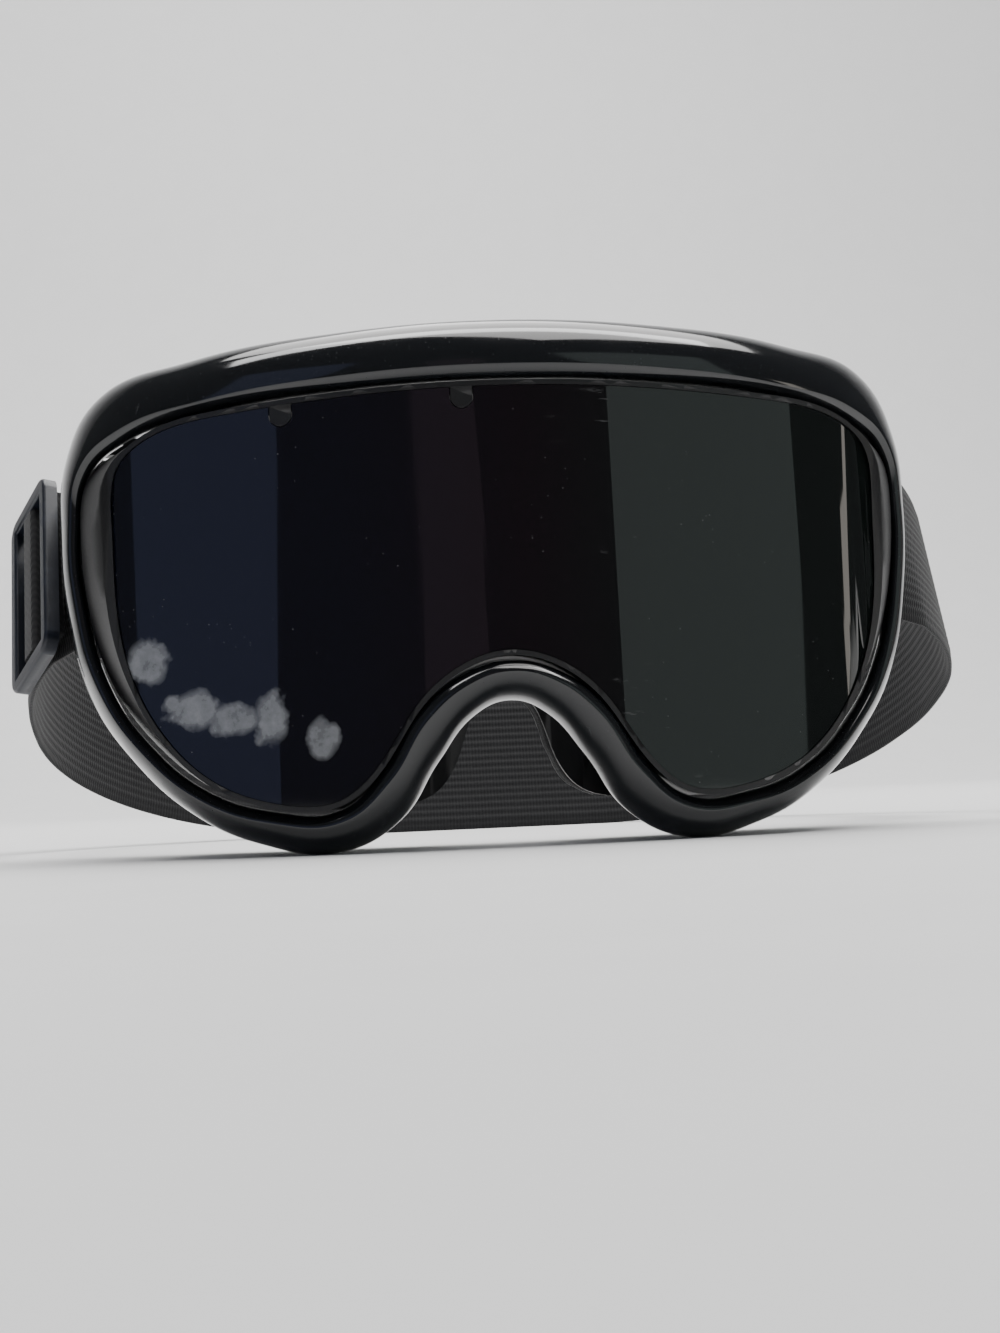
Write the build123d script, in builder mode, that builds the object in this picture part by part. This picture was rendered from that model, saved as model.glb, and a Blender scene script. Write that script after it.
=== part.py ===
from build123d import *
from math import asin, atan2, cos, degrees, hypot, pi, radians, sin, sqrt
import os

os.makedirs("parts", exist_ok=True)

# Sports goggles: a glossy moulded rim over a soft inner frame, one smoked cylindrical
# lens, vent and face foams, and an elastic strap with one slider.
# Millimetres.  +Z is up and the lens faces -Y.  The goggles stand on the two lower lobes
# of the rim, with the slack strap lying down behind them.  The origin is the middle of
# their footprint.

# ---------------------------------------------------------------- driving dimensions
frame_width = 180.8        # rim, outside, side to side
frame_height = 103.2       # rim, lowest lobe to top centre

rim_wrap = 120.0           # radius of the rim's front, seen from above
rim_depth = 11.0           # front to back of the rim's section
rim_bevel = 2.2            # inner bevel, from the crest line inwards
rim_bevel_cut = 1.32       # size of the chamfer inside the crest line
rim_round = 2.4            # rounding of the rim's outer front edge
seat_gap = 0.35            # all round between the rim and the inner frame

lens_wrap = 160.0          # radius of the lens cylinder
lens_front = 2.0           # lens behind the rim's crest, at the centre
lens_thickness = 1.6
lens_gap = 0.1             # all round between the lens and its rebate
lens_lip = 1.0             # wall of the collar outside the lens
lens_lip_proud = 0.4       # the lip stands this much in front of the lens
notch_width = 4.6          # key notches in the lens's top edge
notch_depth = 4.2
notch_places = (-42.5, -7.5)
peg_gap = 0.2              # between a notch and the peg in it

wall = 2.2                 # inner frame's wall
collar_flare_start = 19.5  # behind the crest: the collar starts to widen
collar_flare_end = 36.0
waist_start = 48.0         # the body starts to narrow towards the temples
waist_end = 62.0
waist = 12.0               # how far each side comes in
waist_from = 50.0          # where it starts to come in, out from the middle

face_wrap = 110.0          # radius of the face side
face_start = 26.0          # face flange behind the crest, at the centre
flange_thickness = 2.0
flange_width = 9.0
foam_thickness = 11.0
lining_thickness = 2.5
foam_inset = 12.0          # foam ring's width, measured inwards from the wall
foam_gap = 0.3

vent_width = 9.0
vent_depth = 5.5
vent_pitch = 14.0
top_vents = 7
bottom_vents = 3
bottom_vent_start = 32.0   # first bottom vent, out from the middle
bottom_vent_pitch = 12.0
vent_foam = 2.6            # thickness of the vent foam
vent_foam_depth = 9.5      # its size front to back
vent_to_flange = 2.0
top_foam_past = 3.0        # the foam reaches past the last vent
bottom_foam_past = 2.0

strap_width = 38.0
strap_thickness = 1.5
bar_radius = 1.8
bar_standoff = 11.25       # strap bar, out from the widest part of the waist
bar_back = 57.0            # strap bar, behind the crest
bar_height = 66.0          # middle of the strap at the bar
lug_thickness = 3.4        # the lug's arms
lug_gap = 1.2              # between the arm and the strap's edge
lug_margin = 0.5           # the arm's rim round the bar
post_start = 0.5           # post, out from the widest part of the waist
post_thickness = 2.6
left_angle = 40.0          # the strap leaves the bar at this angle off straight back
right_angle = 52.0
left_bulge = 21.0          # how far out from the bar the strap bulges
right_bulge = 28.0
strap_depth = 140.0        # bar to the back of the loop
back_radius = 78.0         # the strap's two rear bends
loop_length = 4.0          # sewn loop round each bar, measured along the strap
layer_gap = 0.35           # between webbing layers of different pieces
end_gap = 0.4              # between the end of one webbing piece and the next

slider_length = 24.0       # along the strap
slider_gap = 0.35          # between the strap's edge and the slider's end bars
slider_thickness = 3.2
slider_bar = 3.4
slider_start = 10.0        # along the strap, from the bar to the slider's near edge
slider_lean = 8.0          # degrees, the slider's top leans back
slider_corner = 4.0
slider_round = 0.8         # rounding of its outer edges
wrap_thickness = 1.2       # the strap's end, stretched thin round the middle bar
wrap_narrower = 0.5        # at each edge, against the strap
wrap_slack = 0.1           # between it and the bar
bar_sink = 0.2             # the middle bar sits this far below the slider's inner face
bar_thick = 2.0
tail_short = 1.0           # the layer under the slider stops short of its end

# ---------------------------------------------------------------- outlines, half of each
# Points run from the bottom centre, round the wearer's left lobe, to the top centre.
design_width = 180.8
design_height = 103.2


def sized(points):
    """A half outline stretched from its design size to the driving sizes."""
    across = frame_width / design_width
    upward = frame_height / design_height
    return [(x * across, z * upward) for x, z in points]


rim_outline = sized([(0, 28), (7, 25.3), (14, 17), (22, 5.8), (34, 0.1), (49.5, 2.4),
                     (62, 8.2), (75, 19.8), (84.5, 33.5), (89, 50), (90.4, 67), (89, 84),
                     (81.5, 95.5), (61, 100), (31, 102.3), (0, 103.2)])
crest_outline = sized([(0, 33.5), (8, 31.5), (16.5, 25), (23.8, 14), (33, 6.4), (46.5, 6.6),
                       (60, 11.2), (72, 21), (81, 34), (86, 51), (87.3, 68), (84.5, 80.5),
                       (76, 86.3), (58, 89.6), (30, 91.6), (0, 92.3)])
lens_outline = sized([(0, 37.3), (8.5, 35.3), (17.5, 28.5), (25, 17.6), (33.5, 10.1), (45.5, 10),
                      (57, 14.3), (66.5, 23), (73.5, 36), (76.4, 52), (76.8, 66), (75.2, 78.2),
                      (68.5, 83.2), (54, 86), (29, 87.8), (0, 88.6)])
nose_foam_outline = sized([(0, 31), (5.5, 28), (9.5, 18), (14, 11.2), (30, 8.5)])


def full(half):
    """The closed outline: the right half and its mirror image."""
    return half + [(-x, z) for x, z in half[-2:0:-1]]


def moved(half, margin):
    """A half outline moved outwards by margin, along the normal at each of its points."""
    loop = full(half)
    result = []
    for place, (x, z) in enumerate(half):
        ahead = loop[place + 1]
        behind = loop[place - 1]
        along_x = ahead[0] - behind[0]
        along_z = ahead[1] - behind[1]
        length = hypot(along_x, along_z)
        result.append((x + margin * along_z / length, z - margin * along_x / length))
    return result


def narrowed(half, inset, start):
    """A half outline whose sides, further out than start, come in by up to inset."""
    widest = max(x for x, z in half)
    return [(x - inset * max(0.0, (x - start) / (widest - start)), z) for x, z in half]


collar_outline = moved(lens_outline, lens_lip)
seat_outline = moved(crest_outline, -rim_bevel - seat_gap)
waist_outline = narrowed(seat_outline, waist, waist_from)
foam_outline = nose_foam_outline + waist_outline[5:]
waist_widest = max(x for x, z in waist_outline)
bar_out = waist_widest + bar_standoff
left_reach = bar_out + left_bulge
right_reach = bar_out + right_bulge

# ---------------------------------------------------------------- where things are
in_front = -5.0            # cutting shapes start here, ahead of the crest
far_back = 100.0           # and end here, behind the face side
overshoot = 1.0            # a cut runs this much past what it cuts
sky = 300.0                # higher than anything is tall
strap_droop = 0.0
for step in range(6):
    lowest = bar_height - strap_width / 2 * cos(radians(strap_droop))
    strap_droop = degrees(asin(lowest / strap_depth))
back_y = bar_back + strap_depth * cos(radians(strap_droop))
back_y += strap_width / 2 * sin(radians(strap_droop)) + strap_thickness / 2
front_y = -back_y / 2
middle_x = -(right_reach - left_reach) / 2


def upright(depth):
    """The plane across the goggles, depth behind the crest, seen from the front."""
    return Plane(origin=(middle_x, front_y + depth, 0), x_dir=(1, 0, 0), z_dir=(0, -1, 0))


def level(height):
    """The level plane at this height, with its origin under the crest's middle."""
    return Plane(origin=(middle_x, front_y, height))


strap_plane = Plane(
    origin=(middle_x, front_y + bar_back, bar_height),
    x_dir=(1, 0, 0),
    z_dir=(0, sin(radians(strap_droop)), cos(radians(strap_droop))),
)


def outline_area(plane, half):
    """A closed outline, filled, on a plane."""
    with BuildSketch(plane, mode=Mode.PRIVATE) as area:
        with BuildLine():
            Spline(*full(half), periodic=True)
        make_face()
    return area.sketch


def prism(half, start, end, mode=Mode.ADD):
    """An outline run straight back from one depth to another."""
    extrude(outline_area(upright(start), half), amount=start - end, mode=mode)


def funnel(front_half, start, back_half, end, mode=Mode.ADD):
    """A shape that goes from one outline to another."""
    front_area = outline_area(upright(start), front_half)
    back_area = outline_area(upright(end), back_half)
    loft([front_area, back_area], ruled=True, mode=mode)


def keep_between(front_radius, front, back_radius, back):
    """Keep what lies between two upright cylinders, each given by its nearest depth."""
    with BuildSketch(level(-sky), mode=Mode.PRIVATE) as plan:
        with Locations((0, front + front_radius)):
            Circle(front_radius)
        with Locations((0, back + back_radius)):
            Circle(back_radius, mode=Mode.SUBTRACT)
    extrude(plan.sketch, amount=2 * sky, mode=Mode.INTERSECT)


def bend_back(radius, across):
    """How far a cylinder of this radius falls back at a distance across."""
    return radius - sqrt(radius * radius - across * across)


def front_loop_edges(builder):
    """The closed edges that reach furthest forwards, the shortest first."""
    loops = builder.edges().filter_by(lambda edge: edge.is_closed)
    foremost = loops.sort_by(lambda edge: edge.bounding_box().min.Y)[:2]
    return foremost.sort_by(lambda edge: edge.length)


def finish(builder, name):
    builder.part.label = name
    export_step(builder.part, f"parts/{name}.step")


# ---------------------------------------------------------------- front rim
with BuildPart() as front_rim:
    prism(rim_outline, in_front, far_back)
    prism(moved(crest_outline, -rim_bevel), in_front, far_back, Mode.SUBTRACT)
    keep_between(rim_wrap, 0, rim_wrap, rim_depth)
    front_loops = front_loop_edges(front_rim)
    fillet(front_loops[-1], rim_round)
    front_loops = front_loop_edges(front_rim)
    chamfer(front_loops[0], rim_bevel_cut)
finish(front_rim, "front_rim")

# ---------------------------------------------------------------- inner frame
notch_radius = notch_width / 2
peg_radius = notch_radius - peg_gap
lens_top = lens_outline[-1][1]


def lens_edge_height(across):
    """Height of the lens's top edge at a distance from the middle."""
    inner = [point for point in lens_outline if point[1] > frame_height / 2]
    inner.sort()
    for (x_in, z_in), (x_out, z_out) in zip(inner, inner[1:]):
        if x_in <= abs(across) <= x_out:
            return z_in + (z_out - z_in) * (abs(across) - x_in) / (x_out - x_in)
    return lens_top


def hanging_tongue(across, radius, length, above):
    """A round-ended tongue that hangs from just above the lens's top edge."""
    top = lens_edge_height(across)
    straight = length - radius + above
    with BuildSketch(upright(in_front), mode=Mode.PRIVATE) as tongue:
        with Locations((across, top - length + radius)):
            Circle(radius)
        with Locations((across, top + above - straight / 2)):
            Rectangle(2 * radius, straight)
    return tongue.sketch


with BuildPart() as inner_frame:
    prism(collar_outline, in_front, collar_flare_start)
    funnel(collar_outline, collar_flare_start, seat_outline, collar_flare_end)
    prism(seat_outline, collar_flare_end, waist_start)
    funnel(seat_outline, waist_start, waist_outline, waist_end)
    prism(waist_outline, waist_end, far_back)
    # the hollow inside the wall
    collar_inside = moved(collar_outline, -wall)
    seat_inside = moved(seat_outline, -wall)
    waist_inside = moved(waist_outline, -wall)
    prism(collar_inside, in_front - overshoot, collar_flare_start, Mode.SUBTRACT)
    funnel(collar_inside, collar_flare_start, seat_inside, collar_flare_end, Mode.SUBTRACT)
    prism(seat_inside, collar_flare_end, waist_start, Mode.SUBTRACT)
    funnel(seat_inside, waist_start, waist_inside, waist_end, Mode.SUBTRACT)
    prism(waist_inside, waist_end, far_back + overshoot, Mode.SUBTRACT)
    keep_between(lens_wrap, lens_front - lens_lip_proud, face_wrap, face_start)
    # rebate for the lens
    with BuildPart(mode=Mode.PRIVATE) as rebate:
        prism(lens_outline, in_front, far_back)
        keep_between(lens_wrap, in_front, lens_wrap, lens_front + lens_thickness)
    add(rebate.part, mode=Mode.SUBTRACT)
    # pegs in the lens's key notches
    with BuildPart(mode=Mode.PRIVATE) as pegs:
        for across in notch_places:
            tongue = hanging_tongue(across, peg_radius, notch_depth - peg_gap, lens_lip / 2)
            extrude(tongue, amount=-far_back)
        keep_between(lens_wrap, lens_front, lens_wrap, lens_front + lens_thickness + wall)
    add(pegs.part)
    # face flange that the foam is glued to
    with BuildPart(mode=Mode.PRIVATE) as flange:
        prism(foam_outline, in_front, far_back)
        prism(moved(foam_outline, -flange_width), in_front - overshoot, far_back + overshoot, Mode.SUBTRACT)
        keep_between(face_wrap, face_start - flange_thickness, face_wrap, face_start)
    add(flange.part)
    # vent slots through the top and the bottom wall
    first_vent_y = face_start - flange_thickness - vent_to_flange - vent_depth / 2
    for number in range(top_vents):
        across = (number - (top_vents - 1) / 2) * vent_pitch
        vent_y = bend_back(face_wrap, across) + first_vent_y
        with BuildSketch(level(frame_height * 0.75)):
            with Locations((across, vent_y)):
                SlotOverall(vent_width, vent_depth)
        extrude(amount=frame_height / 4, mode=Mode.SUBTRACT)
    for side in (-1, 1):
        for number in range(bottom_vents):
            across = side * (bottom_vent_start + number * bottom_vent_pitch)
            vent_y = bend_back(face_wrap, across) + first_vent_y
            with BuildSketch(level(0)):
                with Locations((across, vent_y)):
                    SlotOverall(vent_width, vent_depth)
            extrude(amount=frame_height / 4, mode=Mode.SUBTRACT)
    # side lugs: a post on the wall, two arms and the bar that the strap turns round
    lug_height = strap_width + 2 * (lug_gap + lug_thickness)
    lug_depth = 2 * (bar_radius + lug_margin)
    post_from = waist_widest + post_start
    arm_from = post_from + post_thickness / 2
    lug_bottom = bar_height - lug_height / 2
    lug_top = bar_height + lug_height / 2
    for side in (-1, 1):
        for arm_bottom in (lug_bottom, lug_top - lug_thickness):
            with BuildSketch(level(arm_bottom)):
                with Locations((side * (arm_from + bar_out) / 2, bar_back)):
                    Rectangle(bar_out - arm_from, lug_depth)
                with Locations((side * bar_out, bar_back)):
                    Circle(bar_radius + lug_margin)
            extrude(amount=lug_thickness)
        with BuildSketch(level(lug_bottom)):
            with Locations((side * bar_out, bar_back)):
                Circle(bar_radius)
            with Locations((side * (post_from + post_thickness / 2), bar_back)):
                Rectangle(post_thickness, lug_depth)
        extrude(amount=lug_height)
finish(inner_frame, "inner_frame")

# ---------------------------------------------------------------- lens
with BuildPart() as lens:
    prism(moved(lens_outline, -lens_gap), in_front, far_back)
    keep_between(lens_wrap, lens_front, lens_wrap, lens_front + lens_thickness)
    for across in notch_places:
        tongue = hanging_tongue(across, notch_radius, notch_depth, notch_depth)
        extrude(tongue, amount=-far_back, mode=Mode.SUBTRACT)
finish(lens, "lens")

# ---------------------------------------------------------------- vent foams
vent_foam_start = face_start - flange_thickness - foam_gap - vent_foam_depth
vent_foam_outer = moved(collar_outline, -wall - foam_gap)
vent_foam_inner = moved(collar_outline, -wall - foam_gap - vent_foam)


def vent_strip(x_from, x_to, z_from, z_to):
    """The part of the vent foam's ring that lies inside an upright window."""
    prism(vent_foam_outer, in_front, far_back)
    prism(vent_foam_inner, in_front - overshoot, far_back + overshoot, Mode.SUBTRACT)
    keep_between(face_wrap, vent_foam_start, face_wrap, vent_foam_start + vent_foam_depth)
    with BuildSketch(upright(in_front), mode=Mode.PRIVATE) as window:
        with Locations(((x_from + x_to) / 2, (z_from + z_to) / 2)):
            Rectangle(x_to - x_from, z_to - z_from)
    extrude(window.sketch, amount=-far_back, mode=Mode.INTERSECT)


top_reach = (top_vents - 1) / 2 * vent_pitch + vent_width / 2 + top_foam_past
with BuildPart() as top_vent_foam:
    vent_strip(-top_reach, top_reach, frame_height / 2, frame_height)
finish(top_vent_foam, "top_vent_foam")

bottom_in = bottom_vent_start - vent_width / 2 - bottom_foam_past
bottom_out = bottom_vent_start + (bottom_vents - 1) * bottom_vent_pitch + vent_width / 2
bottom_out += bottom_foam_past
with BuildPart() as bottom_vent_foam_right:
    vent_strip(bottom_in, bottom_out, 0, frame_height / 3)
finish(bottom_vent_foam_right, "bottom_vent_foam_right")
with BuildPart() as bottom_vent_foam_left:
    vent_strip(-bottom_out, -bottom_in, 0, frame_height / 3)
finish(bottom_vent_foam_left, "bottom_vent_foam_left")

# ---------------------------------------------------------------- face foam and lining


def face_ring(outer, inner, start, depth):
    """A ring that follows the face side."""
    prism(outer, in_front, far_back)
    prism(inner, in_front - overshoot, far_back + overshoot, Mode.SUBTRACT)
    keep_between(face_wrap, start, face_wrap, start + depth)


with BuildPart() as face_foam:
    face_ring(foam_outline, moved(foam_outline, -foam_inset), face_start, foam_thickness)
finish(face_foam, "face_foam")
with BuildPart() as face_lining:
    face_ring(foam_outline, moved(foam_outline, -foam_inset), face_start + foam_thickness,
              lining_thickness)
finish(face_lining, "face_lining")

# ---------------------------------------------------------------- strap
# Everything on the strap is drawn in the strap's own drooping plane: x across, y back
# from the bars.  The strap leaves each bar outwards, bends round to straight back, and
# crosses behind in two wide bends.
half_width = strap_width / 2
half_thick = strap_thickness / 2


def side_radius(reach, angle):
    """Radius of the bend beside the head that ends straight back at this reach."""
    return (reach - bar_out) / (1 - cos(radians(angle)))


left_radius = side_radius(left_reach, left_angle)
right_radius = side_radius(right_reach, right_angle)
left_centre = (-left_reach + left_radius, left_radius * sin(radians(left_angle)))
right_centre = (right_reach - right_radius, right_radius * sin(radians(right_angle)))
band_start = loop_length + end_gap + half_width * sin(radians(strap_droop))
rear_start = strap_depth - back_radius


def run_of_strap(offset):
    """The strap's line, offset outwards, from its right end round to its left end."""
    right_cut = degrees(band_start / right_radius)
    left_cut = degrees(band_start / left_radius)
    right = CenterArc(right_centre, right_radius + offset, right_cut - right_angle,
                      right_angle - right_cut)
    right_bend = CenterArc((right_reach - back_radius, rear_start), back_radius + offset, 0, 90)
    left_bend = CenterArc((back_radius - left_reach, rear_start), back_radius + offset, 90, 90)
    left = CenterArc(left_centre, left_radius + offset, 180, left_angle - left_cut)
    Line(right @ 1, right_bend @ 0)
    Line(right_bend @ 1, left_bend @ 0)
    Line(left_bend @ 1, left @ 0)
    return right @ 0, left @ 1


with BuildPart() as strap_band:
    with BuildSketch(strap_plane.offset(-half_width)):
        with BuildLine():
            outer_ends = run_of_strap(half_thick)
            inner_ends = run_of_strap(-half_thick)
            Line(outer_ends[0], inner_ends[0])
            Line(outer_ends[1], inner_ends[1])
        make_face()
    extrude(amount=strap_width)
finish(strap_band, "strap_band")


def on_side_bend(centre, radius, first_angle, side, along):
    """A place on a side bend: its point and the direction outwards, in the strap's plane."""
    turn = radians(first_angle) + side * along / radius
    outward = (cos(turn), sin(turn))
    return (centre[0] + radius * outward[0], centre[1] + radius * outward[1]), outward


def bar_loop(side, centre, radius, first_angle, layers, name):
    """The webbing sewn round one bar, up to where the next webbing piece starts."""
    end_point, outward = on_side_bend(centre, radius, first_angle, side, loop_length)
    end_thickness = layers * strap_thickness + (layers - 1) * layer_gap
    shift = end_thickness / 2 - half_thick
    with BuildPart() as loop:
        with BuildSketch(level(bar_height - half_width)):
            with Locations((side * bar_out, bar_back)):
                Circle(bar_radius + layer_gap + strap_thickness)
            with Locations((end_point[0] + shift * outward[0],
                            bar_back + end_point[1] + shift * outward[1])):
                Rectangle(end_thickness, end_gap, rotation=degrees(atan2(outward[1], outward[0])))
            make_hull()
            with Locations((side * bar_out, bar_back)):
                Circle(bar_radius + layer_gap, mode=Mode.SUBTRACT)
        extrude(amount=strap_width)
    finish(loop, name)


bar_loop(1, right_centre, right_radius, -right_angle, 2, "strap_loop_right")
bar_loop(-1, left_centre, left_radius, 180 + left_angle, 2, "strap_loop_left")

# ---------------------------------------------------------------- slider
# A flat three-bar slider lies on the outside of the strap.  The strap's end is sewn
# round its middle bar and runs back under the bar nearer the lug.
slider_height = strap_width + 2 * (slider_bar + slider_gap)
slider_lift = half_thick + layer_gap + wrap_thickness + layer_gap
slider_place, slider_outward = on_side_bend(
    left_centre, left_radius, 180 + left_angle, -1, slider_start + slider_length / 2)
lifted = (slider_place[0] + slider_lift * slider_outward[0],
          slider_place[1] + slider_lift * slider_outward[1], 0)
outward_world = (strap_plane.x_dir * slider_outward[0]
                 + strap_plane.y_dir * slider_outward[1])
forward_world = outward_world.cross(strap_plane.z_dir) * -1
lean = radians(slider_lean)
slider_plane = Plane(
    origin=strap_plane.from_local_coords(Vector(*lifted)),
    x_dir=forward_world * cos(lean) + strap_plane.z_dir * sin(lean),
    z_dir=outward_world,
)

with BuildPart() as slider:
    slot = (slider_length - 3 * slider_bar) / 2
    with BuildSketch(slider_plane):
        RectangleRounded(slider_length, slider_height, slider_corner)
        with Locations((-(slot + slider_bar) / 2, 0), ((slot + slider_bar) / 2, 0)):
            Rectangle(slot, slider_height - 2 * slider_bar, mode=Mode.SUBTRACT)
        Rectangle(slider_bar, slider_height - 2 * slider_bar, mode=Mode.SUBTRACT)
    extrude(amount=slider_thickness)
    outer_faces = slider.faces().sort_by(Axis(slider_plane.origin, slider_plane.z_dir))
    fillet(outer_faces[-1].edges(), slider_round)
    with BuildSketch(slider_plane.offset(-bar_sink)):
        Rectangle(slider_bar, slider_height - slider_bar)
    extrude(amount=bar_thick)
finish(slider, "slider")

tail = slider_length / 2 - tail_short
wrap_half = slider_bar / 2 + layer_gap + wrap_thickness
wrap_low = -bar_sink - wrap_slack - wrap_thickness
wrap_high = bar_thick - bar_sink + wrap_slack + wrap_thickness
wrap_plane = Plane(
    origin=slider_plane.origin - slider_plane.y_dir * (half_width - wrap_narrower),
    x_dir=slider_plane.x_dir * -1,
    z_dir=slider_plane.y_dir,
)
with BuildPart() as slider_loop:
    with BuildSketch(wrap_plane):
        with Locations((0, (wrap_low + wrap_high) / 2)):
            RectangleRounded(2 * wrap_half, wrap_high - wrap_low, wrap_thickness)
        with Locations((-tail / 2, wrap_low + wrap_thickness / 2)):
            Rectangle(tail, wrap_thickness)
        with Locations((0, bar_thick / 2 - bar_sink)):
            Rectangle(slider_bar + 2 * wrap_slack, bar_thick + 2 * wrap_slack, mode=Mode.SUBTRACT)
    extrude(amount=strap_width - 2 * wrap_narrower)
finish(slider_loop, "slider_loop")

# The strap's length and the slider's turning centre, for whoever joins the pieces.
strap_length = radians(left_angle) * left_radius + radians(right_angle) * right_radius
strap_length += pi * back_radius + left_reach + right_reach - 2 * back_radius
strap_length += 2 * rear_start - left_centre[1] - right_centre[1]
print("strap from bar to bar", round(strap_length, 1), "mm")
print("bar line y", round(front_y + bar_back, 3), "z", bar_height)
hinge = strap_plane.from_local_coords(Vector(left_centre[0], left_centre[1], 0))
print("slider hinge at", [round(value, 3) for value in hinge], "axis", strap_plane.z_dir)
print("droop", round(strap_droop, 3), "front", round(front_y, 3), "middle", middle_x)
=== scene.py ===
import math

import bmesh
import bpy
from mathutils import Matrix, Vector, noise


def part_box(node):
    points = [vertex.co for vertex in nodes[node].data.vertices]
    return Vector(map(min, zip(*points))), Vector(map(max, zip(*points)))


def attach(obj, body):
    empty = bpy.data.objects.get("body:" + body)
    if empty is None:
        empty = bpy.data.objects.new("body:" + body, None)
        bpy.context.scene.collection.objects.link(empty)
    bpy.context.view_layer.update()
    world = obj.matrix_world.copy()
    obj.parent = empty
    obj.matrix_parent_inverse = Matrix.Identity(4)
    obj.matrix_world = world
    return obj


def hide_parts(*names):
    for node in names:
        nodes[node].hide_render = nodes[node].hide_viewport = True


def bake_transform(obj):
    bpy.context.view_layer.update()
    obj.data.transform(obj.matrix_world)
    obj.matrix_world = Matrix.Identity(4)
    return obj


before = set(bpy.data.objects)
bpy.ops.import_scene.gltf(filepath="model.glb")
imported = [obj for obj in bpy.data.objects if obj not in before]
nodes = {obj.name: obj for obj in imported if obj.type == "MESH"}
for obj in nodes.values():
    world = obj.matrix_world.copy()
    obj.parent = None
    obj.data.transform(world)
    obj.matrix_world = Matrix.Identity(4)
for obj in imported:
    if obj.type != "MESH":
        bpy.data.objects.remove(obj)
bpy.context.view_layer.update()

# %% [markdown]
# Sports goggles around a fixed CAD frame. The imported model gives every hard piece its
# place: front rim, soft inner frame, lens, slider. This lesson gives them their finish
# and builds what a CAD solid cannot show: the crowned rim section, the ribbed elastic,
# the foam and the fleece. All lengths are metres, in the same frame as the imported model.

MM = 0.001

# %% [markdown]
# The rim and the lens are wrapped on upright cylinders, so a place on them is given by
# a distance across, a height, and the cylinder. The rim's box gives the goggles' middle
# and their foremost depth; everything else is measured from those two.

# %% Where the goggles are
rim_low, rim_high = (Vector(corner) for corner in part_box("front_rim"))
middle = (rim_low.x + rim_high.x) / 2
crest_y = rim_low.y
half_rim = (rim_high.x - rim_low.x) / 2
rim_top = rim_high.z
print("middle", round(middle, 4), "crest", round(crest_y, 4), "top", round(rim_top, 4))


def wrapped(across, radius, depth):
    """Depth of an upright cylinder of this radius, depth behind the crest at the middle."""
    return crest_y + depth + radius - math.sqrt(radius * radius - across * across)


# %% [markdown]
# Shader maths reads best as ordinary maths. `Value` holds one socket, and its operators
# add Math nodes, so `1 - mask * 0.5` is two nodes that read as one line.

# %% A value that writes Math nodes, and a material that writes any node
class Value:
    def __init__(self, finish, socket):
        self.finish = finish
        self.socket = socket

    def math(self, operation, other=None, swap=False, clamp=False):
        sockets = {0: self} if other is None else {0: self, 1: other}
        if swap:
            sockets = {0: other, 1: self}
        made = self.finish.node("ShaderNodeMath", sockets, operation=operation, use_clamp=clamp)
        return made.value()

    def __add__(self, other):
        return self.math("ADD", other)

    def __mul__(self, other):
        return self.math("MULTIPLY", other)

    def __sub__(self, other):
        return self.math("SUBTRACT", other)

    def __truediv__(self, other):
        return self.math("DIVIDE", other)

    def __rsub__(self, other):
        return self.math("SUBTRACT", other, swap=True)

    __radd__ = __add__
    __rmul__ = __mul__

    def clamped(self):
        return self.math("ADD", 0.0, clamp=True)

    def largest(self, other):
        return self.math("MAXIMUM", other)

    def between(self, low, high):
        """0 below low, 1 above high, smooth in between."""
        made = self.finish.node("ShaderNodeMapRange", {"Value": self, "From Min": low, "From Max": high},
                                interpolation_type="SMOOTHSTEP")
        return made.value("Result")


class Made:
    """A node that was just added, ready to be read."""

    def __init__(self, finish, node):
        self.finish = finish
        self.node = node

    def value(self, name=0):
        return Value(self.finish, self.node.outputs[name])


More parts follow.
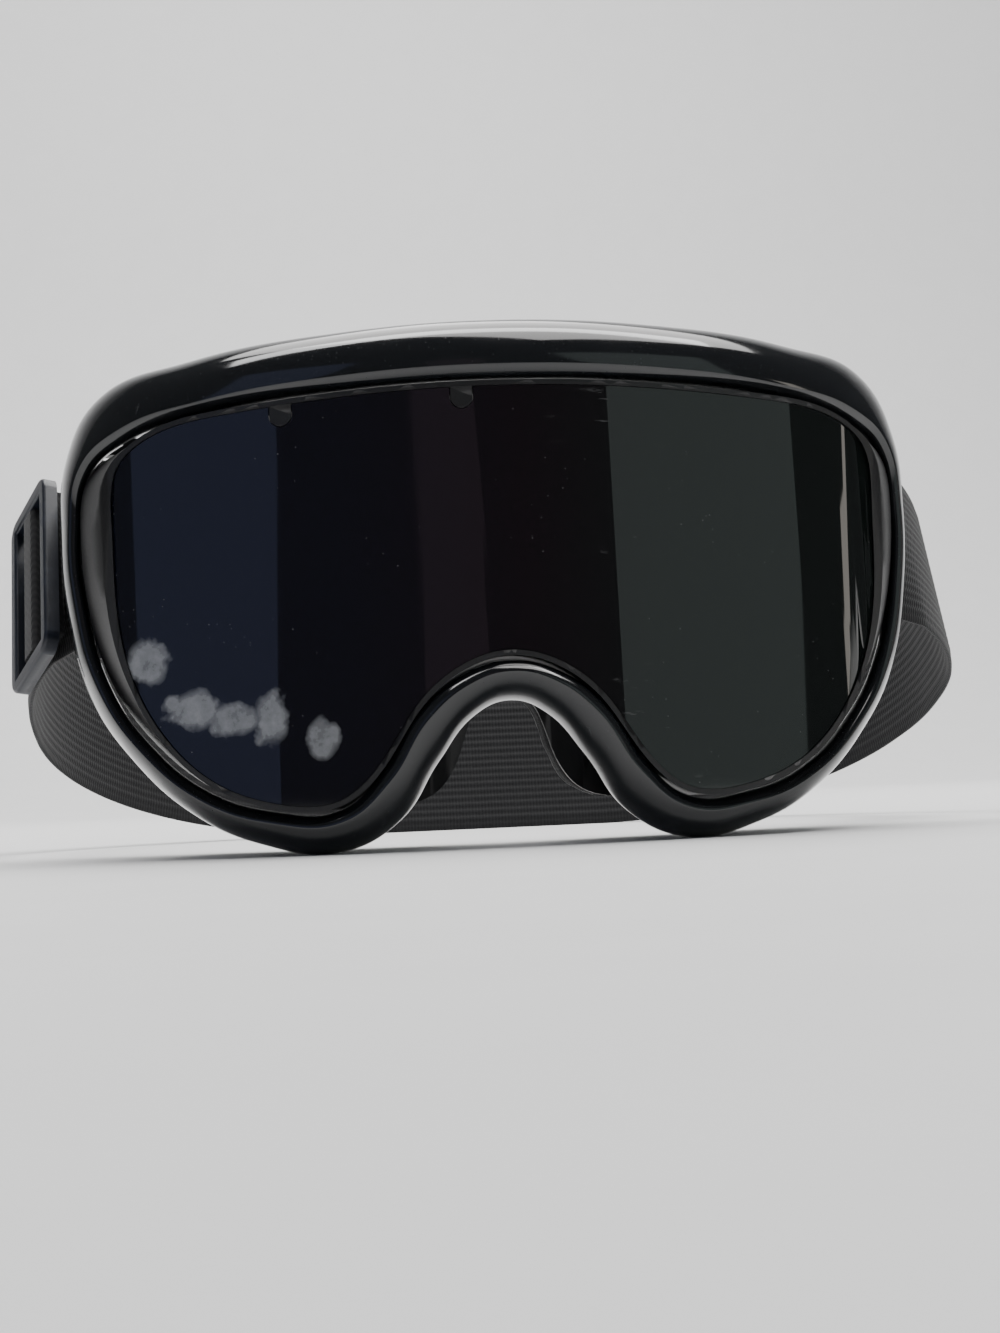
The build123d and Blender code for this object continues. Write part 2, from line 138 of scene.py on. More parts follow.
class Finish:
    """One material, written from the surface up."""

    def __init__(self, name, **constants):
        self.material = bpy.data.materials.new(name)
        self.material.use_nodes = True
        self.tree = self.material.node_tree
        self.tree.nodes.clear()
        output = self.tree.nodes.new("ShaderNodeOutputMaterial")
        self.shader = self.tree.nodes.new("ShaderNodeBsdfPrincipled")
        self.tree.links.new(self.shader.outputs[0], output.inputs["Surface"])
        for socket, amount in constants.items():
            self.shader.inputs[socket.replace("_", " ")].default_value = amount

    def node(self, kind, sockets=(), stops=None, **settings):
        node = self.tree.nodes.new(kind)
        for setting, choice in settings.items():
            setattr(node, setting, choice)
        if stops:
            ramp = node.color_ramp
            while len(ramp.elements) < len(stops):
                ramp.elements.new(0.5)
            for element, (place, colour) in zip(ramp.elements, stops):
                element.position = place
                element.color = colour if len(colour) == 4 else (*colour, 1)
        for socket, given in dict(sockets).items():
            if isinstance(given, Value):
                self.tree.links.new(given.socket, node.inputs[socket])
            else:
                node.inputs[socket].default_value = given
        return Made(self, node)

    def place(self, scale=(1, 1, 1), turn=(0, 0, 0), source="Object"):
        where = self.node("ShaderNodeTexCoord").value(source)
        sockets = {"Vector": where, "Scale": scale, "Rotation": turn}
        return self.node("ShaderNodeMapping", sockets).value("Vector")

    def axis(self, name):
        where = self.node("ShaderNodeTexCoord").value("Object")
        return self.node("ShaderNodeSeparateXYZ", {0: where}).value(name)

    def noise(self, scale, detail=3, roughness=0.55, where=None):
        sockets = {"Vector": where or self.place(), "Scale": scale, "Detail": detail,
                   "Roughness": roughness}
        return self.node("ShaderNodeTexNoise", sockets).value(0)

    def cells(self, scale, where=None, **settings):
        sockets = {"Vector": where or self.place(), "Scale": scale}
        return self.node("ShaderNodeTexVoronoi", sockets, **settings).value("Distance")

    def mix(self, mask, first, second):
        sockets = {"Factor": mask, 6: first, 7: second}
        made = self.node("ShaderNodeMix", sockets, data_type="RGBA")
        return made.value(2)

    def set(self, socket, given):
        self.tree.links.new(given.socket, self.shader.inputs[socket])

    def bump(self, height, distance, strength=1.0):
        sockets = {"Height": height, "Distance": distance, "Strength": strength}
        self.set("Normal", self.node("ShaderNodeBump", sockets).value(0))


# %% [markdown]
# The rim is hard plastic straight from a polished mould: near black, mirror-like, with
# a slight waviness, dust and hairline scuffs that only show where it catches light.

# %% Glossy moulded plastic for the rim
gloss = Finish("glossy_black_plastic", Coat_Weight=0.35, Coat_Roughness=0.05, IOR=1.52)
scuffs = gloss.noise(520, 4, 0.7, gloss.place(scale=(1, 1, 0.12), turn=(0.3, 0.9, 0.4)))
hairlines = scuffs.between(0.63, 0.72)
patches = gloss.noise(38, 4, 0.6).between(0.45, 0.75)
specks = 1 - gloss.cells(900).between(0.05, 0.16)
wear = (hairlines * patches).clamped()
gloss.set("Base Color", gloss.mix((wear * 0.35 + specks * 0.2).clamped(),
                                  (0.0075, 0.0085, 0.0100, 1), (0.075, 0.078, 0.082, 1)))
gloss.set("Roughness", (0.10 + patches * 0.09 + wear * 0.25 + specks * 0.2).clamped())
ripple = gloss.noise(60, 2, 0.4)
gloss.bump(ripple * 0.7 + wear * 0.03, 0.00012, 0.5)
print("rim finish", len(gloss.tree.nodes), "nodes")

# %% [markdown]
# The inner frame is a softer moulding with a fine spark-eroded grain, so it stays
# darker and duller than the rim beside it.

# %% Soft moulded frame
soft = Finish("soft_black_moulding", IOR=1.48)
grain = soft.noise(2600, 3, 0.6)
mottle = soft.noise(70, 3, 0.6)
dust = (1 - soft.cells(700).between(0.04, 0.14)) * soft.noise(45, 2).between(0.5, 0.7)
soft.set("Base Color", soft.mix((mottle * 0.5 + dust * 0.6).clamped(), (0.0045, 0.0045, 0.005, 1),
                                (0.016, 0.016, 0.018, 1)))
soft.set("Roughness", (0.34 + grain * 0.2 + dust * 0.2).clamped())
soft.bump(grain, 0.00006, 0.6)

# %% [markdown]
# The lens is dark smoke polycarbonate. Its own colour is almost nothing; the look is
# the reflection. What makes it used is on the surface: dust specks, rubbed arcs and a
# few dried splashes near the lower outer corner. A faint tint across its base colour,
# blue at one side, purple in the middle and grey-green at the other, is a painted
# reflection of the tinted cards.

# %% Smoked lens
lens_finish = Finish("smoked_lens", IOR=1.56, Coat_Weight=0.25, Coat_Roughness=0.02)
across = lens_finish.axis("X") - middle
height = lens_finish.axis("Z")
wobble = lens_finish.noise(170, 3, 0.6) - 0.5
splashes = [(-0.0700, 0.0385, 0.0046, 0.0056), (-0.0655, 0.0300, 0.0022, 0.0020),
            (-0.0610, 0.0285, 0.0062, 0.0040), (-0.0535, 0.0265, 0.0055, 0.0036),
            (-0.0462, 0.0262, 0.0038, 0.0058), (-0.0362, 0.0222, 0.0034, 0.0044)]
residue = None
for x, z, wide, tall in splashes:
    dx = (across - x) / wide + wobble * 1.5
    dz = (height - z) / tall + wobble * 1.1
    blob = 1 - (dx * dx + dz * dz).between(0.25, 1.05)
    residue = blob if residue is None else residue.largest(blob)
milky = (residue * (0.05 + lens_finish.noise(260, 5, 0.7) * 1.15)).clamped()
lens_dust = (1 - lens_finish.cells(560).between(0.03, 0.09)) * lens_finish.noise(55).between(0.5, 0.62)
rubbed = lens_finish.noise(640, 3, 0.7, lens_finish.place(scale=(0.16, 1, 1), turn=(0, 0.35, 0)))
rubs = rubbed.between(0.62, 0.72) * lens_finish.noise(32).between(0.55, 0.72)
# Painted reflection: the base colour runs from blue at one side through purple to grey-green at the
# other, the tints of the reflected cards.
painted_reflection_tint = lens_finish.node("ShaderNodeValToRGB", {0: (across / 0.16 + 0.5).clamped()}, stops=[
    (0.05, (0.0035, 0.0040, 0.0085)), (0.30, (0.0040, 0.0036, 0.0080)),
    (0.52, (0.0060, 0.0030, 0.0050)), (0.68, (0.0050, 0.0062, 0.0060)),
    (0.95, (0.0045, 0.0060, 0.0055))]).value(0)
base = lens_finish.mix((rubs * 0.25 + lens_dust * 0.5).clamped(), painted_reflection_tint, (0.22, 0.22, 0.22, 1))
lens_finish.set("Base Color", lens_finish.mix(milky, base, (0.30, 0.31, 0.33, 1)))
lens_finish.set("Roughness", (0.035 + rubs * 0.18 + milky * 0.45 + lens_dust * 0.3).clamped())
lens_finish.bump(milky * 0.5 + lens_finish.noise(24, 1, 0.3) * 0.8, 0.00008, 0.4)
print("lens finish", len(lens_finish.tree.nodes), "nodes")

# %% [markdown]
# Foam is open cells; fleece is a nap of short fibres; elastic is a rib-knit of shiny
# warp threads crossed by the weft. Each takes its relief from noise at its own scale.

# %% Foam, fleece, elastic and slider finishes
foam = Finish("open_cell_foam", Specular_IOR_Level=0.2)
pore_depth_and_shade = foam.cells(1500).between(0.1, 0.5)
# Painted shade: the pore pits are painted darker than the cell walls between them.
foam.set("Base Color", foam.mix(pore_depth_and_shade, (0.004, 0.004, 0.0045, 1), (0.030, 0.030, 0.032, 1)))
foam.set("Roughness", (0.85 + pore_depth_and_shade * 0.1).clamped())
foam.bump(pore_depth_and_shade, 0.0004, 0.9)

fleece = Finish("black_fleece", Sheen_Weight=0.35, Sheen_Roughness=0.5, Specular_IOR_Level=0.15)
fibres = fleece.noise(2400, 4, 0.8, fleece.place(scale=(1, 0.5, 1)))
tufts = fleece.noise(330, 3, 0.7)
fleece.set("Base Color", fleece.mix((fibres * tufts * 1.6).clamped(), (0.003, 0.003, 0.0032, 1),
                                    (0.036, 0.036, 0.038, 1)))
fleece.set("Roughness", (0.9 + fibres * 0.1).clamped())
fleece.bump(fibres * 0.5 + tufts * 0.8, 0.0006, 0.9)

elastic = Finish("ribbed_elastic", Sheen_Weight=0.12, Sheen_Roughness=0.45, Specular_IOR_Level=0.3)
along_strap = elastic.node("ShaderNodeUVMap", uv_map="webbing").value(0)
weft = elastic.node("ShaderNodeTexWave", {"Vector": along_strap, "Scale": 1.0, "Distortion": 0.6,
                                          "Detail": 2, "Detail Scale": 3.0},
                    wave_type="BANDS", bands_direction="X").value(1)
yarn = elastic.noise(1900, 3, 0.7)
lint = (1 - elastic.cells(330).between(0.02, 0.06)) * elastic.noise(60).between(0.5, 0.65)
elastic.set("Base Color", elastic.mix((weft * 0.16 + yarn * 0.4 + lint * 0.8).clamped(),
                                      (0.0035, 0.0035, 0.004, 1), (0.034, 0.034, 0.037, 1)))
elastic.set("Roughness", (0.62 + yarn * 0.25).clamped())
elastic.bump(weft * 0.35 + yarn * 0.4, 0.0002, 0.8)

satin = Finish("satin_slider_plastic", IOR=1.5)
slider_grain = satin.noise(2100, 3, 0.6)
rub = satin.noise(90, 4, 0.7).between(0.52, 0.7)
satin.set("Base Color", satin.mix((rub * 0.5 + slider_grain * 0.25).clamped(),
                                  (0.006, 0.008, 0.014, 1), (0.022, 0.028, 0.045, 1)))
satin.set("Roughness", (0.30 + slider_grain * 0.14 + rub * 0.12).clamped())
satin.bump(slider_grain, 0.00005, 0.5)

thread = Finish("sewing_thread", Sheen_Weight=0.1)
ply = thread.noise(3200, 2, 0.6)
thread.set("Base Color", thread.mix(ply, (0.008, 0.008, 0.009, 1), (0.05, 0.05, 0.054, 1)))
thread.set("Roughness", (0.45 + ply * 0.3).clamped())
thread.bump(ply, 0.0001, 0.6)

# %% [markdown]
# The outlines are drawn from a few points on one side, mirrored, and smoothed by a
# curve with automatic handles, so two outlines with as many points have as many
# vertices and can be bridged ring to ring.

# %% Outlines in the goggles' front view
WIDE = half_rim / 0.0905
TALL = rim_top / 0.1033


def half_outline(points):
    return [(x * MM * WIDE, z * MM * TALL) for x, z in points]


rim_outline = half_outline([
    (0, 28), (7, 25.3), (14, 17), (22, 5.8), (34, 0.1), (49.5, 2.4), (62, 8.2), (75, 19.8),
    (84.5, 33.5), (89, 50), (90.4, 67), (89, 84), (81.5, 95.5), (61, 100), (31, 102.3), (0, 103.2)])
crest_outline = half_outline([
    (0, 33.5), (8, 31.5), (16.5, 25), (23.8, 14), (33, 6.4), (46.5, 6.6), (60, 11.2), (72, 21),
    (81, 34), (86, 51), (87.3, 68), (84.5, 80.5), (76, 86.3), (58, 89.6), (30, 91.6), (0, 92.3)])
nose_foam = half_outline([(0, 31), (5.5, 28), (9.5, 18), (14, 11.2), (30, 8.5)])


def mirrored(half):
    return half + [(-x, z) for x, z in half[-2:0:-1]]


def moved(half, margin):
    """A half outline moved outwards by margin along its normals."""
    loop = mirrored(half)
    result = []
    for place, (x, z) in enumerate(half):
        ahead, behind = loop[place + 1], loop[place - 1]
        run = Vector((ahead[0] - behind[0], ahead[1] - behind[1])).normalized()
        result.append((x + margin * run.y, z - margin * run.x))
    return result


def smooth_ring(half, steps=10):
    """The closed outline as ordered points, from a curve with automatic handles."""
    loop = mirrored(half)
    curve = bpy.data.curves.new("outline", "CURVE")
    curve.dimensions = "3D"
    spline = curve.splines.new("BEZIER")
    spline.bezier_points.add(len(loop) - 1)
    for point, (x, z) in zip(spline.bezier_points, loop):
        point.co = (x, 0, z)
        point.handle_left_type = point.handle_right_type = "AUTO"
    spline.use_cyclic_u = True
    spline.resolution_u = steps
    holder = bpy.data.objects.new("outline", curve)
    mesh = bpy.data.meshes.new_from_object(holder)
    points = [vertex.co.copy() for vertex in mesh.vertices]
    bpy.data.objects.remove(holder)
    bpy.data.curves.remove(curve)
    bpy.data.meshes.remove(mesh)
    return points


def blended(first, second, share):
    return [(a[0] + (b[0] - a[0]) * share, a[1] + (b[1] - a[1]) * share)
            for a, b in zip(first, second)]


# %% Rings bridged into a closed tube
def new_piece(name, build, material):
    """A mesh object made from a bmesh, its faces outwards and smooth."""
    bmesh.ops.recalc_face_normals(build, faces=build.faces)
    mesh = bpy.data.meshes.new(name)
    build.to_mesh(mesh)
    build.free()
    mesh.materials.append(material.material)
    mesh.shade_smooth()
    piece = bpy.data.objects.new(name, mesh)
    bpy.context.collection.objects.link(piece)
    print(name, len(mesh.polygons), "faces")
    return piece


def ring_tube(rings):
    """Bridges a list of closed rings, and the last ring back to the first."""
    build = bmesh.new()
    loops = []
    for ring in rings:
        vertices = [build.verts.new(point) for point in ring]
        pairs = zip(vertices, vertices[1:] + vertices[:1])
        loops.append([build.edges.new(pair) for pair in pairs])
    for first, second in zip(loops, loops[1:] + loops[:1]):
        bmesh.ops.bridge_loops(build, edges=first + second)
    return build


def wrapped_ring(half, radius, depth):
    return [Vector((middle + p.x, wrapped(p.x, radius, depth), p.z)) for p in smooth_ring(half)]


# %% [markdown]
# The rim's section is a shallow crown: a narrow bevel falls from the crest towards the
# lens, and a wide face rolls outwards and back to the silhouette. A list of rings, each
# a share of the way from the crest outline to the rim outline, give that section.

# %% Front rim
RIM_WRAP = 0.120
RIM_DEPTH = 0.011
bevel_outline = moved(crest_outline, -0.0022)
section = [(0.02, 0.00004), (0.10, 0.0001), (0.24, 0.0004), (0.42, 0.0011), (0.60, 0.0022),
           (0.76, 0.0037), (0.90, 0.0057), (0.98, 0.0079), (1.00, 0.0096)]
rings = [wrapped_ring(bevel_outline, RIM_WRAP, depth) for depth in (RIM_DEPTH, 0.0022)]
rings += [wrapped_ring(blended(bevel_outline, crest_outline, 0.5), RIM_WRAP, 0.0010),
          wrapped_ring(blended(bevel_outline, crest_outline, 0.88), RIM_WRAP, 0.00025)]
rings += [wrapped_ring(blended(crest_outline, rim_outline, share), RIM_WRAP, depth)
          for share, depth in section]
rings += [wrapped_ring(blended(crest_outline, rim_outline, 0.985), RIM_WRAP, RIM_DEPTH - 0.0003),
          wrapped_ring(blended(crest_outline, rim_outline, 0.95), RIM_WRAP, RIM_DEPTH)]
rim = new_piece("rim", ring_tube(rings), gloss)
smoother = rim.modifiers.new("smooth", "SUBSURF")
smoother.levels = smoother.render_levels = 1
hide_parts("front_rim")
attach(rim, "goggle_frame")

# %% [markdown]
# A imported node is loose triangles. A merged copy shades smoothly across its curved
# faces and still breaks at its real edges.

# %% Lens and inner frame from merged copies
def smooth_copy(node, name, material, sharp=28):
    build = bmesh.new()
    build.from_mesh(nodes[node].data)
    bmesh.ops.remove_doubles(build, verts=build.verts, dist=1e-6)
    mesh = bpy.data.meshes.new(name)
    build.to_mesh(mesh)
    build.free()
    mesh.materials.clear()
    mesh.materials.append(material.material)
    mesh.shade_smooth()
    mesh.set_sharp_from_angle(angle=math.radians(sharp))
    piece = bpy.data.objects.new(name, mesh)
    bpy.context.collection.objects.link(piece)
    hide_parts(node)
    print(name, len(mesh.polygons), "faces")
    return piece


lens = smooth_copy("lens", "smoked_lens", lens_finish)
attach(lens, "goggle_frame")
inner = smooth_copy("inner_frame", "soft_inner_frame", soft)
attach(inner, "goggle_frame")
slider = smooth_copy("slider", "strap_slider", satin)
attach(slider, "slider")

for name in ("top_vent_foam", "bottom_vent_foam_left", "bottom_vent_foam_right"):
    nodes[name].data.materials.clear()
    nodes[name].data.materials.append(foam.material)

# %% [markdown]
# The camera stands low and a little to one side, tilted up, so that both lobes rest
# on the floor line and the crest's curve shows. A small shift frames it.

# %% Camera
camera_data = bpy.data.cameras.new("camera")
camera = bpy.data.objects.new("camera", camera_data)
bpy.context.collection.objects.link(camera)
bpy.context.scene.camera = camera
camera_data.sensor_width = 36
camera_data.lens = 54.65221
camera_data.clip_start = 0.01
yaw, pitch, roll = math.radians(-4.61), math.radians(-6.0), math.radians(-2.5)
target = Vector((middle, crest_y + 0.020, 0.0542))
back = Vector((math.sin(yaw) * math.cos(pitch), -math.cos(yaw) * math.cos(pitch), math.sin(pitch)))
camera.location = target + back * 0.405
right = (-back).cross(Vector((0, 0, 1))).normalized()
up = right.cross(-back)
rolled_right = right * math.cos(roll) + up * math.sin(roll)
rolled_up = up * math.cos(roll) - right * math.sin(roll)
camera.rotation_euler = Matrix((rolled_right, rolled_up, back)).transposed().to_euler()
camera_data.shift_x = -0.000300
camera_data.shift_y = -0.071043
print("camera", [round(v, 4) for v in camera.location])

# %% [markdown]
# The elastic is one long ribbed band. It leaves each side bar outwards and bends round
# behind. Its line is drawn in a plane that droops from the bars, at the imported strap's
# own angle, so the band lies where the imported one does.

# %% The strap's line
BAR_OUT, BAR_BACK, BAR_HEIGHT = 0.0840, 0.0570, 0.0660
STRAP_WIDE, STRAP_THICK = 0.0380, 0.0015
DROOP = math.radians(20.121)
strap_y = Vector((0, math.cos(DROOP), -math.sin(DROOP)))
strap_z = Vector((0, math.sin(DROOP), math.cos(DROOP)))
strap_origin = Vector((middle, crest_y + BAR_BACK, BAR_HEIGHT))


def arc(centre, radius, start, end, steps):
    angles = [math.radians(start + (end - start) * i / steps) for i in range(steps + 1)]
    return [Vector((centre[0] + radius * math.cos(a), centre[1] + radius * math.sin(a)))
            for a in angles]


def strap_line():
    """Points across and back from the bars, from the right bar round to the left bar."""
    line = arc((0.0391, 0.0574), 0.0729, -52, 0, 24)
    line += arc((0.0340, 0.0620), 0.0780, 0, 90, 40)
    line += arc((-0.0270, 0.0620), 0.0780, 90, 180, 40)
    line += arc((-0.0152, 0.0577), 0.0898, 180, 220, 24)
    return line


def evenly(points, gap):
    """The same line with points this far apart."""
    lengths = [0.0]
    for a, b in zip(points, points[1:]):
        lengths.append(lengths[-1] + (b - a).length)
    count = round(lengths[-1] / gap)
    result, k = [], 0
    for i in range(count + 1):
        want = lengths[-1] * i / count
        while k < len(points) - 2 and lengths[k + 1] < want:
            k += 1
        share = (want - lengths[k]) / max(lengths[k + 1] - lengths[k], 1e-9)
        result.append(points[k].lerp(points[k + 1], share))
    return result


line = evenly(strap_line(), 0.0022)
line = line[1:-1]  # the band stops short of each bar, inside its loop
strap_long = sum((b - a).length for a, b in zip(line, line[1:]))
print("strap line", len(line), "points", round(strap_long, 4), "m")


# %% Ribbed webbing swept along a line
RIBS = 19
WEFT = 350  # texture lengths in each metre of webbing


def webbing(name, stations, wide, thick, material, ribs=RIBS):
    """stations are (point, outward, upward); the band is ribbed on both faces."""
    steps = ribs * 4
    build = bmesh.new()
    layer = build.loops.layers.uv.new("webbing")
    rows = []
    for place, outward, upward in stations:
        row = []
        for face in (1, -1):
            order = range(steps + 1) if face == 1 else range(steps, -1, -1)
            for i in order:
                s = i / steps
                edge = min(1.0, min(s, 1 - s) * 16)
                swell = abs(math.sin(math.pi * ribs * s)) * 0.00022
                off = face * (thick / 2 - 0.00022 + swell) * (0.45 + 0.55 * edge)
                row.append(build.verts.new(place + upward * (s - 0.5) * wide + outward * off))
        rows.append(row)
    run = [0.0]
    for (a, _, _), (b, _, _) in zip(stations, stations[1:]):
        run.append(run[-1] + (b - a).length)
    for i, (first, second) in enumerate(zip(rows, rows[1:])):
        size = len(first)
        for k in range(size):
            n = (k + 1) % size
            face = build.faces.new((first[k], first[n], second[n], second[k]))
            for corner, (r, c) in zip(face.loops, ((i, k), (i, k + 1), (i + 1, k + 1), (i + 1, k))):
                corner[layer].uv = (run[r] * WEFT, c / size)
    build.faces.new(rows[0])
    build.faces.new(rows[-1])
    return new_piece(name, build, material)


def in_strap_plane(point, lift=0.0):
    return strap_origin + Vector((point[0], 0, 0)) + strap_y * point[1] + strap_z * lift


# %% The strap, with an uneven hang
stations = []
for i, place in enumerate(line):
    ahead, behind = line[min(i + 1, len(line) - 1)], line[max(i - 1, 0)]
    run = (ahead - behind).normalized()
    out = Vector((run.y, -run.x))
    flat_out = Vector((out.x, 0, 0)) + strap_y * out.y
    share = i / (len(line) - 1)
    near_bar = min(share, 1 - share) * strap_long
    settle = min(1.0, near_bar / 0.05)
    # the slider's side stays true, as the slider runs along it; the other side hangs
    free = settle if share < 0.5 else 0.0
    lean = math.radians(4.2 * math.sin(math.pi * min(near_bar / 0.09, 1.0))) * free
    wave = noise.noise(Vector((share * 6, 0.3, 0))) * 0.0006 * free
    outward = (flat_out * math.cos(lean) + strap_z * math.sin(lean)).normalized()
    upward = (strap_z * math.cos(lean) - flat_out * math.sin(lean)).normalized()
    # close to the bars the band stands upright, as the bar holds it
    hold = max(0.0, 1 - near_bar / 0.018)
    upright_out = Vector((flat_out.x, math.hypot(flat_out.y, flat_out.z) *
                          math.copysign(1, flat_out.y), 0)).normalized()
    outward = outward.lerp(upright_out, hold).normalized()
    upward = upward.lerp(Vector((0, 0, 1)), hold)
    upward = (upward - outward * upward.dot(outward)).normalized()
    stations.append((in_strap_plane(place) + outward * wave, outward, upward))
band = webbing("elastic_strap", stations, STRAP_WIDE, STRAP_THICK, elastic)
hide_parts("strap_band", "strap_loop_left", "strap_loop_right")
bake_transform(band)

# %% [markdown]
# The sewn loops at the two bars are the same elastic and share its swept section; the
# layer over the slider's middle bar is a merged copy of the imported piece in the same elastic finish.

# %% Loops round the bars
def bar_wrap(side):
    """Webbing round one upright bar, open where the band comes in."""
    centre = Vector((middle + side * BAR_OUT, crest_y + BAR_BACK, BAR_HEIGHT))
    leave = math.radians(52 if side == 1 else 40)
    back_way = Vector((side * math.sin(leave), math.cos(leave), 0))
    heading = math.atan2(back_way.y, back_way.x)
    radius = 0.0018 + 0.00035 + STRAP_THICK / 2
    stations = []
    for i in range(29):
        turn = heading + math.radians(28 + (360 - 56) * i / 28)
        outward = Vector((math.cos(turn), math.sin(turn), 0))
        stations.append((centre + outward * radius, outward, Vector((0, 0, 1))))
    name = "bar_loop_right" if side == 1 else "bar_loop_left"
    return webbing(name, stations, STRAP_WIDE, STRAP_THICK, elastic)


for side in (-1, 1):
    wrap = bar_wrap(side)
    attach(wrap, "goggle_frame")

# %% Layer over the slider's middle bar
loop_mesh = smooth_copy("slider_loop", "slider_webbing", elastic, 40)
uv = loop_mesh.data.uv_layers.new(name="webbing")
for corner in loop_mesh.data.loops:
    place = loop_mesh.data.vertices[corner.vertex_index].co
    uv.data[corner.index].uv = (place.y * WEFT, place.z * 10)
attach(loop_mesh, "slider")

# %% [markdown]
# Foam and fleece follow the face side. Each is a closed ring through ten outlines, cut fine
# enough for the noise that makes its surface uneven.

# %% Face foam and fleece
FACE_WRAP = 0.110


def narrowed(half, inset, start):
    widest = max(x for x, z in half)
    return [(x - inset * max(0.0, (x - start) / (widest - start)), z) for x, z in half]


seat_outline = moved(crest_outline, -0.0022 - 0.00035)
waist_outline = narrowed(seat_outline, 0.012, 0.050 * WIDE)
foam_outline = nose_foam + waist_outline[5:]
foam_inside = moved(foam_outline, -0.012)


def soft_ring(name, front, depth, rounding, material, lumps, seed):
    """A soft ring with rounded back corners, lumpy by lumps metres."""
    far = front + depth - rounding
    profile = [(0.0, front + 0.0002), (0.0, far), (0.06, front + depth - rounding * 0.35),
               (0.16, front + depth), (0.5, front + depth), (0.84, front + depth),
               (0.94, front + depth - rounding * 0.35), (1.0, far), (1.0, front + 0.0002),
               (0.5, front + 0.0002)]
    rings = [wrapped_ring(blended(foam_outline, foam_inside, share), FACE_WRAP, depth_there)
             for share, depth_there in profile]
    build = ring_tube(rings)
    bmesh.ops.subdivide_edges(build, edges=build.edges, cuts=1, use_grid_fill=True)
    bmesh.ops.smooth_vert(build, verts=build.verts, factor=0.25, use_axis_x=True,
                          use_axis_y=True, use_axis_z=True)
    bmesh.ops.recalc_face_normals(build, faces=build.faces)
    for vertex in build.verts:
        rough = noise.noise(vertex.co * 420 + Vector((seed, 0, 0)))
        broad = noise.noise(vertex.co * 90 + Vector((0, seed, 0)))
        if vertex.co.y > wrapped(vertex.co.x - middle, FACE_WRAP, front + 0.001):
            vertex.co += vertex.normal * lumps * (0.5 * rough + 0.7 * broad)
    return new_piece(name, build, material)


foam_ring = soft_ring("foam_ring", 0.026, 0.0110, 0.0006, foam, 0.00025, 3.0)
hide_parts("face_foam")
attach(foam_ring, "goggle_frame")
fleece_ring = soft_ring("fleece_ring", 0.0370, 0.0025, 0.0010, fleece, 0.00045, 7.0)
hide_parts("face_lining")
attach(fleece_ring, "goggle_frame")

# %% [markdown]
# Each end of the band is sewn down beside its bar. A stitch is a short thread that
# rises out of the webbing and goes back in.

# %% Stitches beside the bars
def stitch(build, start, way, outward, length, thick=0.00022):
    """One raised stitch, a bent six-sided thread with tapered ends."""
    side = way.cross(outward).normalized()
    loops = []
    for k in range(7):
        share = k / 6
        rise = math.sin(math.pi * share)
        centre = start + way * (length * share) + outward * (rise * 0.0003)
        radius = thick * (0.35 + 0.65 * rise)
        ring = [build.verts.new(centre + (side * math.cos(a) + outward * math.sin(a)) * radius)
                for a in (math.tau * n / 6 for n in range(6))]
        loops.append([build.edges.new(pair) for pair in zip(ring, ring[1:] + ring[:1])])
    for first, second in zip(loops, loops[1:]):
        bmesh.ops.bridge_loops(build, edges=first + second)
    bmesh.ops.holes_fill(build, edges=loops[0] + loops[-1])


def stitch_rows(name, places):
    build = bmesh.new()
    for place, outward, upward in places:
        for k in range(12):
            start = place + upward * ((k - 5.5) * 0.0029 - 0.0010) + outward * (STRAP_THICK / 2)
            stitch(build, start, upward, outward, 0.0020)
    rows = new_piece(name, build, thread)
    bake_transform(rows)
    return rows


right_stitches = stitch_rows("stitches_right", [stations[1], stations[2]])
left_stitches = stitch_rows("stitches_left", [stations[-2], stations[-3]])
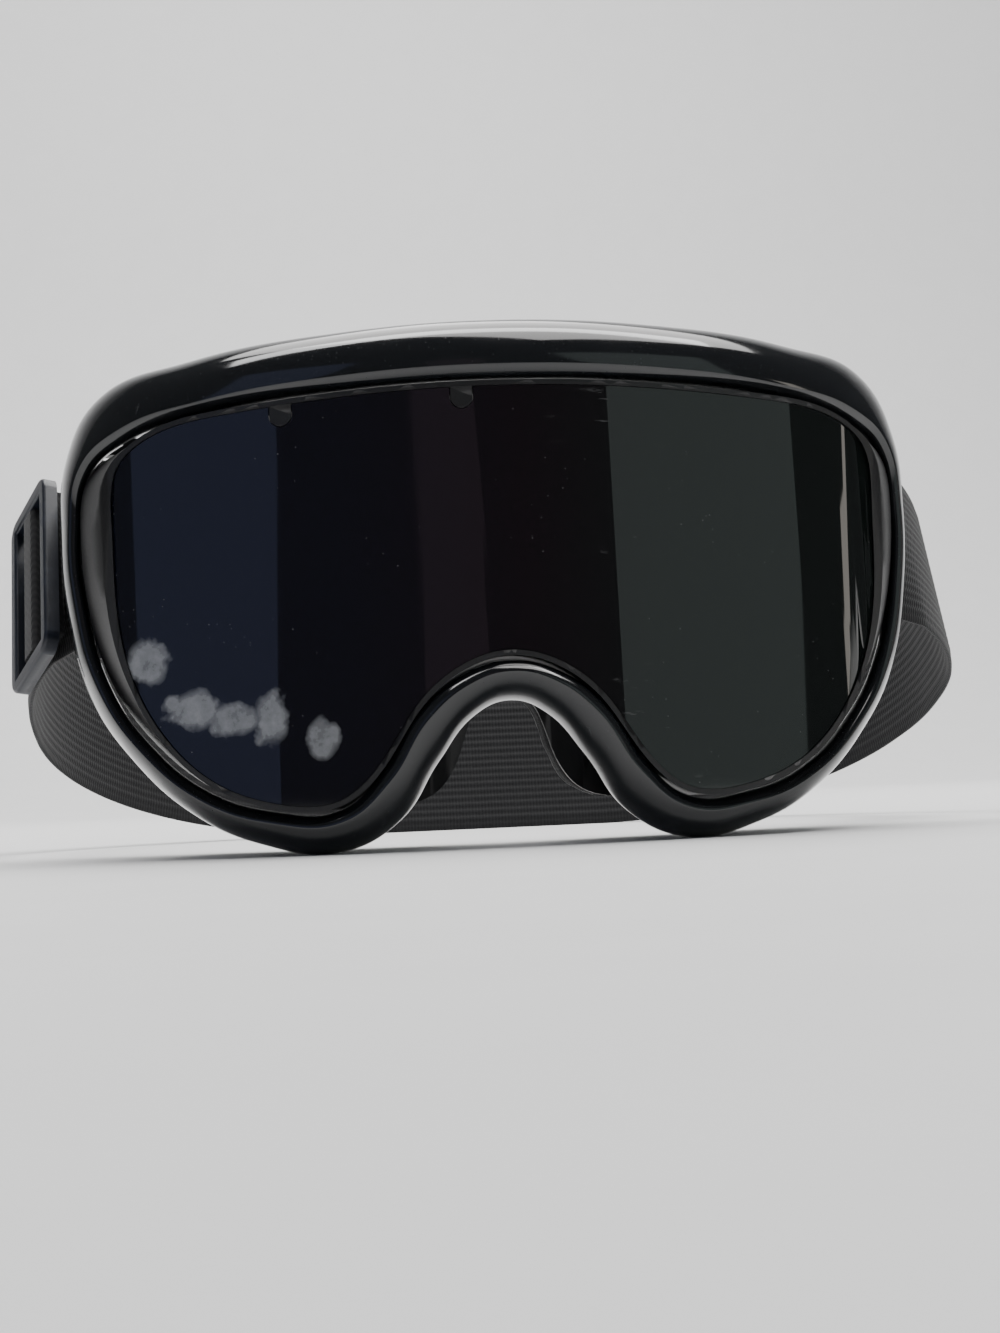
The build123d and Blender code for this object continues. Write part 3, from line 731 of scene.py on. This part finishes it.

# %% [markdown]

# %% [markdown]
# A glossy dark object is lit by what it reflects. The room in front stays dark, a broad
# light above and behind brightens the floor and the backdrop, and dim tinted cards give
# the lens its upright streaks: blue on one side, grey-green on the other.

# %% Floor that curves up into a backdrop
floor_finish = Finish("pale_floor", Roughness=0.7)
speckle = floor_finish.noise(40, 3)
floor_finish.set("Base Color", floor_finish.mix(speckle, (0.78, 0.78, 0.78, 1), (0.82, 0.82, 0.82, 1)))
floor_finish.bump(floor_finish.noise(600, 2), 0.0001, 0.3)
sweep = [(-1.6, 0.0), (1.0, 0.0)]
sweep += [(1.0 + 0.6 * math.sin(a), 0.6 - 0.6 * math.cos(a))
          for a in (math.radians(step) for step in range(6, 91, 6))]
sweep.append((1.6, 2.6))
floor_build = bmesh.new()
edge = [floor_build.verts.new((-3, y, z)) for y, z in sweep]
run = [floor_build.edges.new(pair) for pair in zip(edge, edge[1:])]
grown = bmesh.ops.extrude_edge_only(floor_build, edges=run)
bmesh.ops.translate(floor_build, vec=(6, 0, 0),
                    verts=[v for v in grown["geom"] if isinstance(v, bmesh.types.BMVert)])
floor = new_piece("floor", floor_build, floor_finish)


# %% Lights
def card(name, place, aim, size, glow, tint):
    """An area light that shows the same brightness, glow, whatever its size."""
    light = bpy.data.lights.new(name, "AREA")
    light.shape = "RECTANGLE"
    light.size, light.size_y = size
    light.energy = glow * math.pi * size[0] * size[1]
    light.color = tint
    lamp = bpy.data.objects.new(name, light)
    bpy.context.collection.objects.link(lamp)
    lamp.location = place
    lamp.rotation_euler = (Vector(aim) - Vector(place)).to_track_quat("-Z", "Y").to_euler()


MIDDLE = (0, -0.08, 0.05)
card("overhead", (0.15, 0.25, 1.30), (0, 0.1, 0), (1.5, 1.1), 5.5, (1.0, 0.99, 0.98))
card("backdrop_wash", (0.0, 0.1, 1.9), (0, 1.6, 0.5), (2.4, 0.6), 9.0, (1, 1, 1))
card("left_card", (-0.75, -0.75, 0.40), MIDDLE, (0.50, 0.9), 0.30, (0.45, 0.55, 1.0))
card("centre_card", (-0.12, -1.50, 0.45), MIDDLE, (0.30, 0.9), 0.12, (0.85, 0.6, 0.75))
card("right_card", (0.62, -0.80, 0.35), MIDDLE, (0.62, 0.9), 0.42, (0.85, 1.0, 0.96))
card("right_edge", (0.95, -0.36, 0.18), MIDDLE, (0.10, 0.34), 2.4, (1.0, 0.94, 0.86))

world = bpy.data.worlds.new("studio")
bpy.context.scene.world = world
world.use_nodes = True
world.node_tree.nodes["Background"].inputs[0].default_value = (0.75, 0.77, 0.80, 1)
world.node_tree.nodes["Background"].inputs[1].default_value = 0.09
